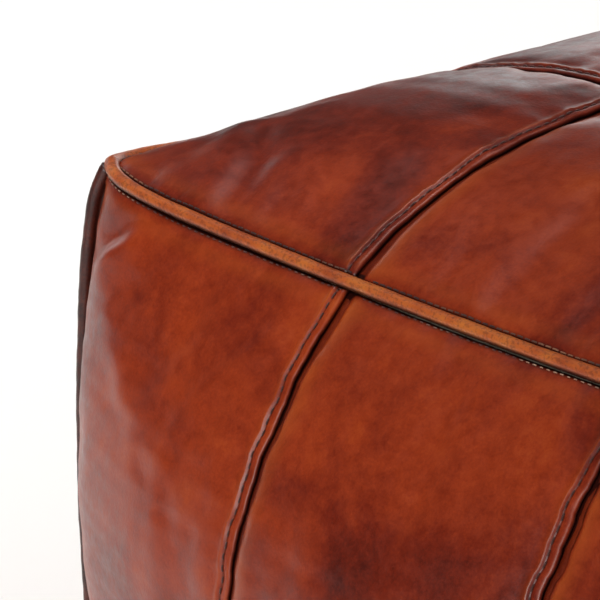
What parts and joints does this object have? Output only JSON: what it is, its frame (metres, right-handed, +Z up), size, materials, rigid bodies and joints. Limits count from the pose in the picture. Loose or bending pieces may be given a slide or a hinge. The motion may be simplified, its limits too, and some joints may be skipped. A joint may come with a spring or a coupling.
{
  "type": "square leather pouf",
  "caption": "Low square floor pouf of patchwork leather with piped edges and a zipped base, stuffed over a liner bag; the zip's slider runs and its puller swings.",
  "frame": {"origin": "middle of the base, on the floor that the pouf stands on", "axes": "+Z up through the middle of the top; the front face looks along -Y and the zip runs along X"},
  "size_m": [0.5614, 0.5614, 0.2852],
  "materials": {
    "panel_leather": "hand-dyed, waxed to a soft gloss",
    "base_leather": "hand-dyed, matt",
    "piping_leather": "tan, glossy, worn grain",
    "welt_leather": "dark brown, glossy",
    "piping_cord": "twisted cotton",
    "zip_tape": "woven",
    "zip_metal": "satin",
    "liner_cloth": "plain woven cotton",
    "filling_wadding": "loose wadding"
  },
  "bodies": {
    "cover": {"top_patch_front_left": "panel_leather", "top_patch_front_middle": "panel_leather", "top_patch_front_right": "panel_leather", "top_patch_middle_left": "panel_leather", "top_patch_centre": "panel_leather", "top_patch_middle_right": "panel_leather", "top_patch_back_left": "panel_leather", "top_patch_back_middle": "panel_leather", "top_patch_back_right": "panel_leather", "side_panel_front_left": "panel_leather", "side_panel_front_middle": "panel_leather", "side_panel_front_right": "panel_leather", "side_panel_right_front": "panel_leather", "side_panel_right_middle": "panel_leather", "side_panel_right_back": "panel_leather", "side_panel_back_right": "panel_leather", "side_panel_back_middle": "panel_leather", "side_panel_back_left": "panel_leather", "side_panel_left_back": "panel_leather", "side_panel_left_middle": "panel_leather", "side_panel_left_front": "panel_leather", "base_panel_front": "base_leather", "base_panel_back": "base_leather", "top_piping_cover": "piping_leather", "base_piping_cover": "welt_leather", "corner_piping_front_left": "welt_leather", "corner_piping_front_right": "welt_leather", "corner_piping_back_right": "welt_leather", "corner_piping_back_left": "welt_leather", "top_piping_cord": "piping_cord", "base_piping_cord": "piping_cord", "corner_cord_front_left": "piping_cord", "corner_cord_front_right": "piping_cord", "corner_cord_back_right": "piping_cord", "corner_cord_back_left": "piping_cord", "zip_tape_front": "zip_tape", "zip_tape_back": "zip_tape", "zip_teeth_front": "zip_metal", "zip_teeth_back": "zip_metal", "zip_bottom_stop": "zip_metal", "zip_top_stops": "zip_metal", "liner_bag": "liner_cloth", "filling": "filling_wadding"},
    "slider": {"zip_slider": "zip_metal"},
    "puller": {"zip_puller": "zip_metal"}
  },
  "joints": [
    {"name": "zip_slide", "type": "slide", "parent": "cover", "child": "slider", "axis": [1, 0, 0], "range_m": [-0.305, 0], "deforming": ["zip_teeth_front", "zip_teeth_back"]},
    {"name": "puller_swing", "type": "hinge", "parent": "slider", "child": "puller", "pos_m": [0.1525, 0, 0.0024], "axis": [0, -1, 0], "range_deg": [0, 175]}
  ]
}
